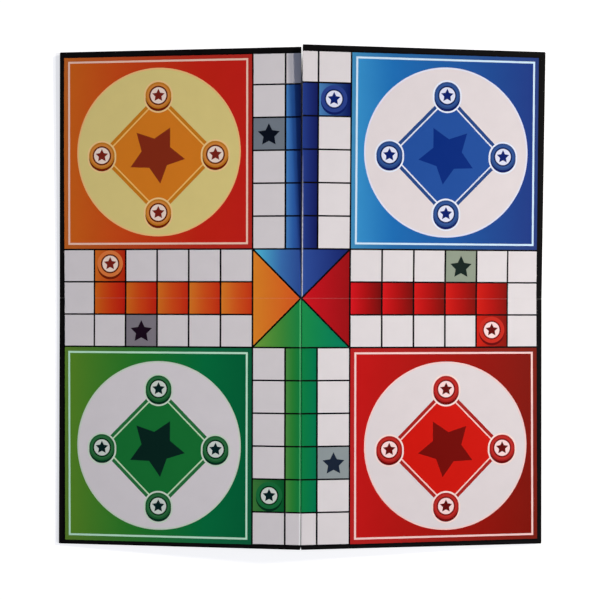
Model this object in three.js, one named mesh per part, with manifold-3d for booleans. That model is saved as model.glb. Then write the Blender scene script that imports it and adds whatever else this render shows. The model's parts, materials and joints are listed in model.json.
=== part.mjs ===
// A folding ludo board: four card panels that fold to a quarter of the open size.
//
// Each panel is a greyboard core with a printed label on the front and black paper on the back,
// and the black paper is folded round the outer edges and turned in under the label.
// The two creases across the board fold print to print and hinge in the label. The crease below
// the middle folds back to back and hinges in the black paper. Above the middle the board is slit.
// The board is opened out and stands as it springs: a low roof along the lower crease.
import * as THREE from 'three';
import { mergeVertices } from 'three/addons/utils/BufferGeometryUtils.js';
import Module from 'manifold-3d';

// Printed grid, in millimetres
const CELL_COUNT = 15;
const CELL_WIDTH = 25.65;
const CELL_HEIGHT = 26;

// Card beyond the grid's outer line, and label trimmed inside that line
const EDGE_MARGIN = 3.4;
const LABEL_TRIM_SIDE = 0.45;
const LABEL_TRIM_FAR = 0.75;
const LABEL_TRIM_NEAR = 0.15;

// Layers of one panel
const WRAP_THICKNESS = 0.2;
const BOARD_THICKNESS = 2;
const LABEL_THICKNESS = 0.2;
const GLUE_LINE = 0.05;

// Black paper turned in over the front of the card
const TURN_IN = 15;
const MITRE_GAP = 0.3;

// Cut card: crushed edges, outer corners, and the nick at the foot of the lower crease
const BOARD_EDGE_RADIUS = 0.25;
const BOARD_CORNER_RADIUS = 0.8;
const FOLD_NICK = 0.7;

// Knife cuts between the panels, and the scored hinge paper that spans the creases
const CREASE_GAP = 0.3;
const SLIT_GAP = 0.3;
const HINGE_WIDTH = 3;
const HINGE_SEAM = 0.05;
const HINGE_END_MARGIN = 1.2;
const SCORE_DEPTH = 0.1;
const FOLD_SLACK = 0.1;

// Resting angles, in degrees: each half below the level, and each upper panel above its half
const ROOF_ANGLE = 4.5;
const LIFT_ANGLE_LEFT = 0.4;
const LIFT_ANGLE_RIGHT = 2.1;

// Faceting of rounded edges
const EDGE_STEPS = 3;
const CORNER_STEPS = 5;

// Sizes that follow
const GRID_HALF_WIDTH = (CELL_COUNT / 2) * CELL_WIDTH;
const GRID_HALF_HEIGHT = (CELL_COUNT / 2) * CELL_HEIGHT;
const PANEL_WIDTH = GRID_HALF_WIDTH + EDGE_MARGIN;
const PANEL_HEIGHT = GRID_HALF_HEIGHT + EDGE_MARGIN;
const WRAP_SKIN = WRAP_THICKNESS + GLUE_LINE;
const CORE_TOP = WRAP_SKIN + BOARD_THICKNESS;
const LABEL_BOTTOM = CORE_TOP + GLUE_LINE;
const PANEL_TOP = LABEL_BOTTOM + LABEL_THICKNESS;
const CORE_EDGE_TOP = CORE_TOP - WRAP_SKIN;
const OVERRUN = 10;

const wasm = await Module();
wasm.setup();

// The four panels by side: -1 is left or near, +1 is right or far
const LEFT = -1;
const RIGHT = 1;
const NEAR = -1;
const FAR = 1;

/** Closed manifold solid of a three.js geometry. */
function toSolid(geometry) {
  const bare = geometry.clone();
  bare.deleteAttribute('normal');
  bare.deleteAttribute('uv');
  const merged = mergeVertices(bare, 1e-5);
  return new wasm.Manifold(new wasm.Mesh({
    numProp: 3,
    vertProperties: new Float32Array(merged.attributes.position.array),
    triVerts: new Uint32Array(merged.index.array),
  }));
}

/** three.js geometry of a manifold solid, with flat facets. */
function toGeometry(solid) {
  const mesh = solid.getMesh();
  const geometry = new THREE.BufferGeometry();
  geometry.setAttribute('position', new THREE.BufferAttribute(new Float32Array(mesh.vertProperties), 3));
  geometry.setIndex(new THREE.BufferAttribute(new Uint32Array(mesh.triVerts), 1));
  geometry.computeVertexNormals();
  return geometry;
}

/** Box from its low to its high corner, each given as [x, y, z]. */
function boxBetween(low, high) {
  const size = high.map((value, axis) => value - low[axis]);
  const box = new THREE.BoxGeometry(...size);
  box.translate(...high.map((value, axis) => (value + low[axis]) / 2));
  return box;
}

/** Box over one panel's quarter: from its inner edges outwards by the given reach, between two levels. */
function quarterBox(side, end, inner, outer, bottom, top) {
  const xs = [side * inner.x, side * outer.x].sort((a, b) => a - b);
  const ys = [end * inner.y, end * outer.y].sort((a, b) => a - b);
  return boxBetween([xs[0], ys[0], bottom], [xs[1], ys[1], top]);
}

/** Distance from the two centre lines to a panel's cut edges. */
function innerEdges(end) {
  const gapBeside = end === FAR ? SLIT_GAP : CREASE_GAP;
  return { x: gapBeside / 2, y: CREASE_GAP / 2 };
}

/** Outline of a panel that runs past its cut edges, set in from the panel's outer edges. */
function panelOutline(side, end, inset, cornerRadius) {
  const x = PANEL_WIDTH - inset;
  const y = PANEL_HEIGHT - inset;
  const outline = new THREE.Shape();
  outline.moveTo(-side * OVERRUN, -end * OVERRUN);
  outline.lineTo(side * x, -end * OVERRUN);
  outline.lineTo(side * x, end * (y - cornerRadius));
  outline.quadraticCurveTo(side * x, end * y, side * (x - cornerRadius), end * y);
  outline.lineTo(-side * OVERRUN, end * y);
  outline.closePath();
  return outline;
}

/** Slab of a panel's outline with its edges rounded, between two levels. */
function roundedSlab(side, end, inset, cornerRadius, edgeRadius, bottom, top) {
  const slab = new THREE.ExtrudeGeometry(panelOutline(side, end, inset, cornerRadius), {
    depth: top - bottom - 2 * edgeRadius,
    bevelEnabled: true,
    bevelThickness: edgeRadius,
    bevelSize: edgeRadius,
    bevelOffset: -edgeRadius,
    bevelSegments: EDGE_STEPS,
    curveSegments: CORNER_STEPS,
  });
  slab.translate(0, 0, bottom + edgeRadius);
  return toSolid(slab);
}

/** Keeps the part of a solid that lies within its panel's cut edges. */
function cutAtCreases(solid, side, end) {
  const reach = { x: PANEL_WIDTH + OVERRUN, y: PANEL_HEIGHT + OVERRUN };
  const kept = quarterBox(side, end, innerEdges(end), reach, -OVERRUN, PANEL_TOP + OVERRUN);
  return solid.intersect(toSolid(kept));
}

/** Takes the corner off a near panel where the lower crease meets the outer edge. */
function nickAtFold(solid, side, end) {
  if (end === FAR) return solid;
  const tip = innerEdges(end).x + FOLD_NICK;
  const nick = new THREE.Shape();
  nick.moveTo(-side * OVERRUN, end * (PANEL_HEIGHT - tip - OVERRUN));
  nick.lineTo(side * tip, end * PANEL_HEIGHT);
  nick.lineTo(side * tip, end * (PANEL_HEIGHT + OVERRUN));
  nick.lineTo(-side * OVERRUN, end * (PANEL_HEIGHT + OVERRUN));
  nick.closePath();
  const cutter = new THREE.ExtrudeGeometry(nick, { depth: PANEL_TOP + 2 * OVERRUN, bevelEnabled: false });
  cutter.translate(0, 0, -OVERRUN);
  return solid.subtract(toSolid(cutter));
}

/** Greyboard core: pressed down along its outer edges, where the wrap is turned in. */
function greyboard(side, end) {
  const edge = roundedSlab(
    side, end, WRAP_SKIN, BOARD_CORNER_RADIUS, BOARD_EDGE_RADIUS, WRAP_SKIN, CORE_EDGE_TOP,
  );
  const plateau = quarterBox(
    side, end, { x: 0, y: 0 },
    { x: PANEL_WIDTH - TURN_IN - GLUE_LINE, y: PANEL_HEIGHT - TURN_IN - GLUE_LINE },
    CORE_EDGE_TOP - BOARD_EDGE_RADIUS, CORE_TOP,
  );
  const core = edge.add(toSolid(plateau));
  return toGeometry(nickAtFold(cutAtCreases(core, side, end), side, end));
}

/** Slot between the two turned-in flaps, from the inner corner of the turn-in to the outer corner. */
function mitreSlot(side, end) {
  const length = Math.SQRT2 * (TURN_IN + OVERRUN);
  const slot = new THREE.BoxGeometry(length, MITRE_GAP, BOARD_THICKNESS);
  slot.translate(-length / 2, 0, CORE_EDGE_TOP + GLUE_LINE);
  slot.rotateZ(Math.atan2(end, side));
  const seat = WRAP_SKIN + BOARD_CORNER_RADIUS;
  slot.translate(side * (PANEL_WIDTH - seat), end * (PANEL_HEIGHT - seat), 0);
  return toSolid(slot);
}

/** Room in a near panel's back sheet for the hinge paper of the lower crease. */
function hingeSeat(side) {
  return toSolid(quarterBox(
    side, NEAR, { x: -OVERRUN, y: -OVERRUN },
    { x: HINGE_WIDTH / 2 + HINGE_SEAM, y: PANEL_HEIGHT - HINGE_END_MARGIN + HINGE_SEAM },
    -OVERRUN, WRAP_SKIN,
  ));
}

/** Black paper: the back sheet, the folded outer edges and the two mitred turn-ins. */
function wrap(side, end) {
  const paperTop = CORE_EDGE_TOP + WRAP_SKIN;
  const outside = roundedSlab(
    side, end, 0, BOARD_CORNER_RADIUS + WRAP_SKIN, BOARD_EDGE_RADIUS + WRAP_SKIN, 0, paperTop,
  );
  const cavity = roundedSlab(
    side, end, WRAP_THICKNESS, BOARD_CORNER_RADIUS + GLUE_LINE, BOARD_EDGE_RADIUS + GLUE_LINE,
    WRAP_THICKNESS, CORE_EDGE_TOP + GLUE_LINE,
  );
  const window = quarterBox(
    side, end, { x: -OVERRUN, y: -OVERRUN },
    { x: PANEL_WIDTH - TURN_IN, y: PANEL_HEIGHT - TURN_IN },
    CORE_EDGE_TOP, paperTop + OVERRUN,
  );
  let folded = outside.subtract(cavity).subtract(toSolid(window)).subtract(mitreSlot(side, end));
  if (end === NEAR) folded = folded.subtract(hingeSeat(side));
  return toGeometry(nickAtFold(cutAtCreases(folded, side, end), side, end));
}

/** Distance from the two centre lines to a label's inner edges, beside the hinge paper of the side crease. */
function labelInnerEdges(end) {
  return { x: innerEdges(end).x, y: HINGE_WIDTH / 2 + HINGE_SEAM };
}

/** How far the label reaches from the centre lines. */
function labelReach(end) {
  const trimAtEnd = end === FAR ? LABEL_TRIM_FAR : LABEL_TRIM_NEAR;
  return { x: GRID_HALF_WIDTH - LABEL_TRIM_SIDE, y: GRID_HALF_HEIGHT - trimAtEnd };
}

/** Printed label: a flat sheet that stops short of the outer edges and leaves the wrap as a border. */
function label(side, end) {
  return quarterBox(side, end, labelInnerEdges(end), labelReach(end), LABEL_BOTTOM, PANEL_TOP);
}

/** Section of scored hinge paper across a fold, with its second half turned by the fold's angle. */
function scoredSection(thickness, outerLevel, pivotLevel, turn) {
  const inward = Math.sign(pivotLevel - outerLevel) * -1;
  const reach = HINGE_WIDTH / 2;
  const bend = CREASE_GAP / 2;
  const score = SCORE_DEPTH * inward;
  const far = thickness * inward;
  const profile = [
    [reach, outerLevel],
    [bend, outerLevel],
    [0, outerLevel + score],
    [0, outerLevel + score + far],
    [bend, outerLevel + far],
    [reach, outerLevel + far],
  ];
  const pivot = new THREE.Vector2(0, pivotLevel);
  const first = profile.map(([across, level]) => new THREE.Vector2(-across, level));
  const second = profile.map(([across, level]) => new THREE.Vector2(across, level).rotateAround(pivot, turn));
  const middle = (index) => first[index].clone().rotateAround(pivot, turn / 2);
  return new THREE.Shape([
    first[0], first[1], middle(2), second[1], second[0],
    second[5], second[4], middle(3), first[4], first[5],
  ]);
}

/** Hinge strip of the label across a side crease, in the frame of that side's near panel. */
function labelHinge(side, lift) {
  const section = scoredSection(LABEL_THICKNESS, PANEL_TOP, PANEL_TOP + FOLD_SLACK, lift);
  const start = SLIT_GAP / 2;
  const strip = new THREE.ExtrudeGeometry(section, {
    depth: labelReach(NEAR).x - start,
    bevelEnabled: false,
  });
  const across = new THREE.Matrix4().makeBasis(
    new THREE.Vector3(0, 1, 0), new THREE.Vector3(0, 0, 1), new THREE.Vector3(1, 0, 0),
  );
  strip.applyMatrix4(across);
  strip.translate(side === RIGHT ? start : -labelReach(NEAR).x, 0, 0);
  return strip;
}

/** Hinge strip of the black paper across the lower crease, in the frame of the left half. */
function wrapHinge(turn) {
  const section = scoredSection(WRAP_THICKNESS, 0, -FOLD_SLACK, turn);
  const strip = new THREE.ExtrudeGeometry(section, {
    depth: PANEL_HEIGHT - HINGE_END_MARGIN - CREASE_GAP / 2,
    bevelEnabled: false,
  });
  const along = new THREE.Matrix4().makeBasis(
    new THREE.Vector3(1, 0, 0), new THREE.Vector3(0, 0, 1), new THREE.Vector3(0, -1, 0),
  );
  strip.applyMatrix4(along);
  strip.translate(0, -CREASE_GAP / 2, 0);
  return strip;
}

/** Paper or card finish with a plain colour. */
function finish(color, roughness) {
  return new THREE.MeshStandardMaterial({ color, roughness, metalness: 0 });
}

const GREY_CARD = finish(0x9a9184, 0.95);
const BLACK_PAPER = finish(0x0a0a0b, 0.6);
const ORANGE_PRINT = finish(0xb8541a, 0.5);
const BLUE_PRINT = finish(0x1e62af, 0.5);
const GREEN_PRINT = finish(0x2f7028, 0.5);
const RED_PRINT = finish(0xa01a16, 0.5);

/** Adds one named piece to a group. */
function addPiece(group, name, geometry, material) {
  const piece = new THREE.Mesh(geometry, material);
  piece.name = name;
  group.add(piece);
}

/** Adds the three layers of one panel to a group. */
function addPanel(group, place, side, end, print) {
  addPiece(group, `greyboard_${place}`, greyboard(side, end), GREY_CARD);
  addPiece(group, `wrap_${place}`, wrap(side, end), BLACK_PAPER);
  addPiece(group, `label_${place}`, label(side, end), print);
}

/** Group that turns about an axis through a point: its inner group holds pieces in the unturned frame. */
function pivotGroup(name, point, axis, degrees) {
  const pivot = new THREE.Group();
  pivot.name = name;
  pivot.position.copy(point);
  pivot.setRotationFromAxisAngle(axis, THREE.MathUtils.degToRad(degrees));
  const held = new THREE.Group();
  held.position.copy(point).negate();
  pivot.add(held);
  return { pivot, held };
}

const X_AXIS = new THREE.Vector3(1, 0, 0);
const Y_AXIS = new THREE.Vector3(0, 1, 0);
const RIDGE = new THREE.Vector3(0, 0, -FOLD_SLACK);
const SIDE_CREASE = new THREE.Vector3(0, 0, PANEL_TOP + FOLD_SLACK);

/** One half of the board: its near panel, and its far panel turned about the side crease. */
function boardHalf(side, places, prints, lift) {
  const slope = pivotGroup(`${places.half}_half`, RIDGE, Y_AXIS, side * ROOF_ANGLE);
  addPanel(slope.held, places.near, side, NEAR, prints.near);
  addPiece(
    slope.held, `label_hinge_${places.half}`,
    labelHinge(side, THREE.MathUtils.degToRad(lift)), prints.near,
  );
  const fold = pivotGroup(`${places.half}_fold`, SIDE_CREASE, X_AXIS, lift);
  addPanel(fold.held, places.far, side, FAR, prints.far);
  slope.held.add(fold.pivot);
  return slope;
}

const leftHalf = boardHalf(
  LEFT, { half: 'left', near: 'lower_left', far: 'upper_left' },
  { near: GREEN_PRINT, far: ORANGE_PRINT }, LIFT_ANGLE_LEFT,
);
const rightHalf = boardHalf(
  RIGHT, { half: 'right', near: 'lower_right', far: 'upper_right' },
  { near: RED_PRINT, far: BLUE_PRINT }, LIFT_ANGLE_RIGHT,
);
const ridgeTurn = THREE.MathUtils.degToRad(-2 * ROOF_ANGLE);
addPiece(leftHalf.held, 'wrap_hinge_lower', wrapHinge(ridgeTurn), BLACK_PAPER);

// The board stands on its two lower outer edges, with the origin below the middle of its box
const board = new THREE.Group();
board.name = 'ludo_board';
board.add(leftHalf.pivot, rightHalf.pivot);
const box = new THREE.Box3().setFromObject(board, true);
board.position.set(-(box.min.x + box.max.x) / 2, -(box.min.y + box.max.y) / 2, -box.min.z);

const ludoBoard = new THREE.Group();
ludoBoard.add(board);
ludoBoard.updateMatrixWorld(true);

export default ludoBoard;
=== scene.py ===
"""Looks of a folding ludo board: printed paper, black covering paper and card, on a white table."""

import json
import logging
import math
from collections.abc import Callable, Sequence
from dataclasses import dataclass, replace
from enum import Enum
from typing import Any

import bpy
from mathutils import Matrix, Vector
from mathutils.geometry import delaunay_2d_cdt


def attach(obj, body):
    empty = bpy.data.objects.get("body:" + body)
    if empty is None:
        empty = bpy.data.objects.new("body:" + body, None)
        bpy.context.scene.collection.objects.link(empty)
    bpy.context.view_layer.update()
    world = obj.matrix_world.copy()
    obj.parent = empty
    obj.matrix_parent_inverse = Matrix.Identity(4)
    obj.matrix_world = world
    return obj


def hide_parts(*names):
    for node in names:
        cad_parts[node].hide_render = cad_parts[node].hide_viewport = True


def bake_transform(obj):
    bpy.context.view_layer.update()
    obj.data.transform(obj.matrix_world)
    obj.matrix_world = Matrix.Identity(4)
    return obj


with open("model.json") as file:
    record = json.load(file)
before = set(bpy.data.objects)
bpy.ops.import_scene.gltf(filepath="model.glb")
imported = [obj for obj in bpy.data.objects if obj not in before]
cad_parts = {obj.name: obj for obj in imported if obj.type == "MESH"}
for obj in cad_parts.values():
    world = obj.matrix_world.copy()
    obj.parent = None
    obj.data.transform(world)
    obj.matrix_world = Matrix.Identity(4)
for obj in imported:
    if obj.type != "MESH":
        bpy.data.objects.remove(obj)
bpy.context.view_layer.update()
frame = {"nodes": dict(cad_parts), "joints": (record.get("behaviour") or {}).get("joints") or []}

LOG = logging.getLogger("ludo_board")

Srgb = tuple[float, float, float]
Span = tuple[float, float]
Spot = tuple[float, float]
Outline = list[Spot]

# Printed grid, in metres, and how far the paper stands off the hinge line of a fold
CELL_WIDTH = 0.02565
CELL_HEIGHT = 0.026
FOLD_SLACK = 0.0001

# Tones that the whole print shares, sRGB from 0 to 255
PAPER = (231, 225, 225)
LINE_BLACK = (13, 11, 12)
HAZE_GREY = (105, 100, 95)

# How the print is cut up: only what lies inside an outline, and spots closer than this, in cells, as one
CUT_INSIDE = 1
CUT_TOLERANCE = 1e-6

# Points of a printed star, and the direction of a tip that points up, in degrees from the right
STAR_POINTS = 5
UPRIGHT = 90.0


class Place(Enum):
    """The four panels: the name that their nodes end in, their side and their end of the board."""

    UPPER_LEFT = ("upper_left", -1, 1)
    UPPER_RIGHT = ("upper_right", 1, 1)
    LOWER_LEFT = ("lower_left", -1, -1)
    LOWER_RIGHT = ("lower_right", 1, -1)

    @property
    def body(self) -> str:
        """Name of the body, which the panel's nodes end in."""
        return self.value[0]

    @property
    def side(self) -> int:
        """-1 on the left, 1 on the right."""
        return self.value[1]

    @property
    def end(self) -> int:
        """-1 at the near end, 1 at the far end."""
        return self.value[2]


def mixed(tone: Srgb, other: Srgb, share: float) -> Srgb:
    """Mixes two tones.

    Args:
        tone: first tone.
        other: second tone.
        share: how much of the second goes in, 0 to 1.

    Returns:
        The mixed tone.
    """
    return tuple(a + (b - a) * share for a, b in zip(tone, other))


@dataclass(frozen=True)
class Ink:
    """Printed colour that runs evenly from one place across the board to another.

    Attributes:
        start: tone up to start_u.
        end: tone from end_u on.
        start_u: where the run begins, in cells.
        end_u: where it ends, in cells.
    """

    start: Srgb
    end: Srgb
    start_u: float = 0.0
    end_u: float = 1.0

    @classmethod
    def plain(cls, tone: Srgb) -> "Ink":
        """Ink of one tone all over."""
        return cls(tone, tone)

    def tone_at(self, u: float) -> Srgb:
        """Tone at a place across the board, with each channel from 0 to 1."""
        share = (u - self.start_u) / (self.end_u - self.start_u)
        return tuple(c / 255 for c in mixed(self.start, self.end, min(max(share, 0.0), 1.0)))


@dataclass(frozen=True)
class Shape:
    """One inked shape of the print: its outline in cells and its ink."""

    outline: Outline
    ink: Ink


def box_outline(left: float, low: float, right: float, high: float) -> Outline:
    """Outline of an upright box.

    Args:
        left: one side.
        low: one end.
        right: the other side, in any order.
        high: the other end, in any order.

    Returns:
        Its four corners, anticlockwise.
    """
    left, right = sorted((left, right))
    low, high = sorted((low, high))
    return [(left, low), (right, low), (right, high), (left, high)]


def cell_outline(u: float, v: float) -> Outline:
    """Outline of the cell round a spot."""
    return box_outline(u - 0.5, v - 0.5, u + 0.5, v + 0.5)


def round_outline(centre: Spot, radius: float, steps: int) -> Outline:
    """Outline of a circle in cells."""
    turns = (math.tau * step / steps for step in range(steps))
    return [(centre[0] + radius * math.cos(t), centre[1] + radius * math.sin(t)) for t in turns]


def star_outline(centre: Spot, radius: float, waist: float, tip_degrees: float = UPRIGHT) -> Outline:
    """Outline of a star with five points.

    Args:
        centre: middle of the star.
        radius: reach of the tips.
        waist: reach of the notches, as a share of the radius.
        tip_degrees: direction of one tip, from the right and anticlockwise.

    Returns:
        Its ten corners.
    """
    corners = []
    for step in range(2 * STAR_POINTS):
        reach = radius if step % 2 == 0 else radius * waist
        turn = math.radians(tip_degrees + 180 / STAR_POINTS * step)
        corners.append((centre[0] + reach * math.cos(turn), centre[1] + reach * math.sin(turn)))
    return corners


def diamond_outline(centre: Spot, reach: float) -> Outline:
    """Outline of a square stood on its corner."""
    u, v = centre
    return [(u + reach, v), (u, v + reach), (u - reach, v), (u, v - reach)]


def stroke_outline(start: Spot, end: Spot, width: float) -> Outline:
    """Outline of a straight line.

    Args:
        start: one end of it.
        end: the other end.
        width: its width.

    Returns:
        Its four corners.
    """
    first, last = Vector(start), Vector(end)
    along = last - first
    beside = Vector((-along.y, along.x)).normalized() * (width / 2)
    return [tuple(corner) for corner in (first - beside, last - beside, last + beside, first + beside)]


def clipped_beyond(outline: Outline, u: float, side: int) -> Outline:
    """Part of a convex outline that lies on one side of an upright line.

    Args:
        outline: corners in order.
        u: place of the line.
        side: 1 keeps what lies right of the line, -1 what lies left of it.

    Returns:
        The corners that are left, in order.
    """
    kept = []
    for here, there in zip(outline, outline[1:] + outline[:1]):
        inside = (here[0] - u) * side >= 0
        if inside:
            kept.append(here)
        if inside != ((there[0] - u) * side >= 0):
            share = (u - here[0]) / (there[0] - here[0])
            kept.append((u, here[1] + (there[1] - here[1]) * share))
    return kept


@dataclass(frozen=True)
class InkRun:
    """Tones that follow each other from left to right.

    Attributes:
        stops: pairs of a share of the width, 0 to 1, and the tone there.
    """

    stops: tuple[tuple[float, Srgb], ...]

    def hazed(self, share: float) -> "InkRun":
        """The same run, dulled by a share of grey."""
        return InkRun(tuple((at, mixed(tone, HAZE_GREY, share)) for at, tone in self.stops))

    def towards(self, other: "InkRun", share: float) -> "InkRun":
        """Run between this one and another with as many stops.

        Args:
            other: the other run.
            share: how much of it goes in, 0 to 1.

        Returns:
            The mixed run.
        """
        pairs = zip(self.stops, other.stops)
        return InkRun(tuple((at, mixed(tone, goal, share)) for (at, tone), (_, goal) in pairs))

    def painted(self, outline: Outline, left: float, right: float) -> list[Shape]:
        """Fills a convex outline with the run.

        Args:
            outline: what is filled.
            left: where the run starts, in cells.
            right: where it ends.

        Returns:
            One shape for each pair of stops that the outline meets.
        """
        shapes = []
        for (start, start_tone), (end, end_tone) in zip(self.stops, self.stops[1:]):
            start_u = left + (right - left) * start
            end_u = left + (right - left) * end
            strip = clipped_beyond(clipped_beyond(outline, start_u, 1), end_u, -1)
            if len(strip) > 2:
                shapes.append(Shape(strip, Ink(start_tone, end_tone, start_u, end_u)))
        return shapes


def run_of(*tones: Srgb) -> InkRun:
    """Run through tones at even steps."""
    return InkRun(tuple((step / (len(tones) - 1), tone) for step, tone in enumerate(tones)))


@dataclass(frozen=True)
class DiscInks:
    """Tones of one printed playing piece.

    Attributes:
        body: the piece.
        edge: darker edge of the body.
        rim: side of the piece, which shows below the body.
        halo: pale line round it.
        ring: dark ring round the top.
        top: white top.
        star: star on the top.
        start_body: body of the piece on the start cell.
    """

    body: Srgb
    edge: Srgb
    rim: Srgb
    halo: Srgb
    ring: Srgb
    top: Srgb
    star: Srgb
    start_body: Srgb

    def on_start(self) -> "DiscInks":
        """Tones of the piece on the start cell, which has no darker edge."""
        return replace(self, body=self.start_body, edge=self.start_body)


@dataclass(frozen=True)
class TeamInks:
    """Tones of one player's quarter of the print.

    Attributes:
        yard: run across the yard.
        frame_line: line inside the yard's edge.
        field: big circle.
        field_rim: outline of the big circle.
        diamond: middle of the diamond.
        band: band round the diamond.
        diamond_line: line between the two.
        star: big star.
        disc: playing pieces.
        start_cell: run across the cell that a piece starts on.
        safe_cell: cell with a star.
        safe_star: the star on it.
        home: run across one cell of the way home, or across the whole of an upright one.
        triangle: run across the triangle at the centre.
        home_inner: run across the cell next to the centre, where it differs.
    """

    yard: InkRun
    frame_line: Srgb
    field: Srgb
    field_rim: Srgb
    diamond: Srgb
    band: Srgb
    diamond_line: Srgb
    star: Srgb
    disc: DiscInks
    start_cell: InkRun
    safe_cell: Srgb
    safe_star: Srgb
    home: InkRun
    triangle: InkRun
    home_inner: InkRun | None = None


TEAMS: dict[Place, TeamInks] = {
    Place.UPPER_LEFT: TeamInks(
        yard=InkRun(((0, (221, 109, 35)), (0.72, (209, 43, 29)), (1, (207, 39, 32)))),
        frame_line=(255, 209, 186),
        field=(236, 216, 137),
        field_rim=(255, 203, 132),
        diamond=(230, 132, 39),
        band=(214, 130, 34),
        diamond_line=(255, 200, 110),
        star=(141, 51, 30),
        disc=DiscInks(
            body=(225, 141, 67), edge=(208, 129, 40), rim=(120, 38, 14), halo=(255, 214, 145),
            ring=(106, 38, 14), top=(254, 230, 213), star=(130, 42, 32), start_body=(236, 129, 67),
        ),
        start_cell=run_of((225, 118, 42), (196, 46, 24)),
        safe_cell=(123, 132, 141),
        safe_star=(18, 24, 36),
        home=run_of((221, 110, 33), (217, 67, 27), (205, 36, 25)),
        triangle=run_of((238, 143, 46), (235, 95, 40)),
        home_inner=run_of((236, 138, 48), (228, 95, 37), (218, 61, 30)),
    ),
    Place.UPPER_RIGHT: TeamInks(
        yard=InkRun(((0, (63, 152, 208)), (0.22, (36, 113, 184)), (1, (36, 59, 132)))),
        frame_line=(212, 238, 255),
        field=(230, 221, 221),
        field_rim=(228, 230, 246),
        diamond=(40, 83, 160),
        band=(44, 76, 136),
        diamond_line=(226, 230, 244),
        star=(10, 48, 127),
        disc=DiscInks(
            body=(54, 87, 149), edge=(45, 75, 132), rim=(18, 34, 96), halo=(232, 238, 252),
            ring=(22, 42, 92), top=(227, 230, 247), star=(16, 36, 108), start_body=(47, 68, 141),
        ),
        start_cell=run_of((79, 135, 190), (14, 26, 88)),
        safe_cell=(149, 160, 141),
        safe_star=(28, 42, 38),
        home=InkRun((
            (0, (85, 145, 207)), (0.23, (53, 104, 179)), (0.5, (42, 66, 140)), (1, (26, 33, 92)),
        )),
        triangle=InkRun((
            (0, (92, 212, 238)), (0.3, (66, 119, 186)), (0.5, (52, 82, 156)), (1, (28, 40, 107)),
        )),
    ),
    Place.LOWER_LEFT: TeamInks(
        yard=InkRun((
            (0, (101, 146, 46)), (0.38, (47, 129, 49)), (0.75, (13, 117, 67)), (1, (9, 101, 61)),
        )),
        frame_line=(200, 246, 214),
        field=(231, 225, 226),
        field_rim=(214, 228, 208),
        diamond=(31, 121, 57),
        band=(46, 120, 66),
        diamond_line=(200, 232, 190),
        star=(16, 44, 38),
        disc=DiscInks(
            body=(52, 115, 68), edge=(37, 100, 54), rim=(8, 52, 34), halo=(214, 232, 210),
            ring=(6, 54, 28), top=(219, 227, 217), star=(10, 38, 38), start_body=(33, 115, 64),
        ),
        start_cell=run_of((70, 131, 64), (16, 96, 50)),
        safe_cell=(137, 131, 138),
        safe_star=(34, 20, 34),
        home=InkRun((
            (0, (88, 151, 76)), (0.23, (50, 139, 59)), (0.5, (22, 132, 70)), (1, (4, 121, 82)),
        )),
        triangle=InkRun((
            (0, (126, 174, 67)), (0.3, (72, 150, 64)), (0.5, (33, 143, 76)), (1, (3, 123, 94)),
        )),
    ),
    Place.LOWER_RIGHT: TeamInks(
        yard=run_of((203, 29, 29), (128, 25, 12)),
        frame_line=(255, 210, 203),
        field=(230, 221, 221),
        field_rim=(250, 212, 206),
        diamond=(213, 29, 19),
        band=(172, 40, 36),
        diamond_line=(252, 205, 196),
        star=(119, 17, 10),
        disc=DiscInks(
            body=(192, 48, 43), edge=(170, 37, 34), rim=(110, 12, 14), halo=(255, 224, 216),
            ring=(128, 20, 18), top=(254, 221, 218), star=(100, 18, 16), start_body=(204, 48, 36),
        ),
        start_cell=run_of((214, 38, 24), (137, 26, 17)),
        safe_cell=(147, 157, 158),
        safe_star=(32, 42, 58),
        home=run_of((217, 35, 25), (183, 23, 17), (136, 21, 11)),
        triangle=run_of((212, 26, 37), (157, 23, 27)),
        home_inner=run_of((222, 28, 37), (174, 21, 23), (115, 20, 17)),
    ),
}

# The cells with a playing piece and with a star, by the panel that they lie on
START_CELLS: dict[Place, Spot] = {
    Place.UPPER_LEFT: (-6, 1),
    Place.UPPER_RIGHT: (1, 6),
    Place.LOWER_RIGHT: (6, -1),
    Place.LOWER_LEFT: (-1, -6),
}
SAFE_CELLS: dict[Place, Spot] = {
    Place.UPPER_LEFT: (-1, 5),
    Place.UPPER_RIGHT: (5, 1),
    Place.LOWER_RIGHT: (1, -5),
    Place.LOWER_LEFT: (-5, -1),
}


@dataclass(frozen=True)
class BlackEdge:
    """Black along two outer edges of a panel's print, which is not quite square to it.

    Widths are in cells, inwards from the grid's outer line, each at the crease and at the outer corner.

    Attributes:
        beside: along the left or right edge.
        beyond: along the near or far edge.
    """

    beside: Spot
    beyond: Spot

    def less(self, trim: float) -> "BlackEdge":
        """Makes the edge narrower, down to nothing.

        Args:
            trim: what comes off each width.

        Returns:
            The narrower edge.
        """
        beside, beyond = (
            tuple(max(0.0, width - trim) for width in widths) for widths in (self.beside, self.beyond)
        )
        return BlackEdge(beside, beyond)


BLACK_EDGES: dict[Place, BlackEdge] = {
    Place.UPPER_LEFT: BlackEdge((0.042, 0.0), (0.071, 0.062)),
    Place.UPPER_RIGHT: BlackEdge((0.054, 0.095), (0.074, 0.068)),
    Place.LOWER_LEFT: BlackEdge((0.047, 0.083), (0.0, 0.0)),
    Place.LOWER_RIGHT: BlackEdge((0.052, 0.02), (0.006, 0.039)),
}


@dataclass(frozen=True)
class FigureShift:
    """How far the figures in a yard are printed off their usual places, in cells.

    Attributes:
        figures: circle, discs and diamond to the right.
        star: big star to the right.
        rise: all of them upwards.
    """

    figures: float
    star: float
    rise: float = 0.0


FIGURE_SHIFTS: dict[Place, FigureShift] = {
    Place.UPPER_LEFT: FigureShift(0.034, -0.025, rise=0.019),
    Place.UPPER_RIGHT: FigureShift(0.0, 0.01),
    Place.LOWER_LEFT: FigureShift(0.055, -0.012),
    Place.LOWER_RIGHT: FigureShift(0.042, 0.057),
}

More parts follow.
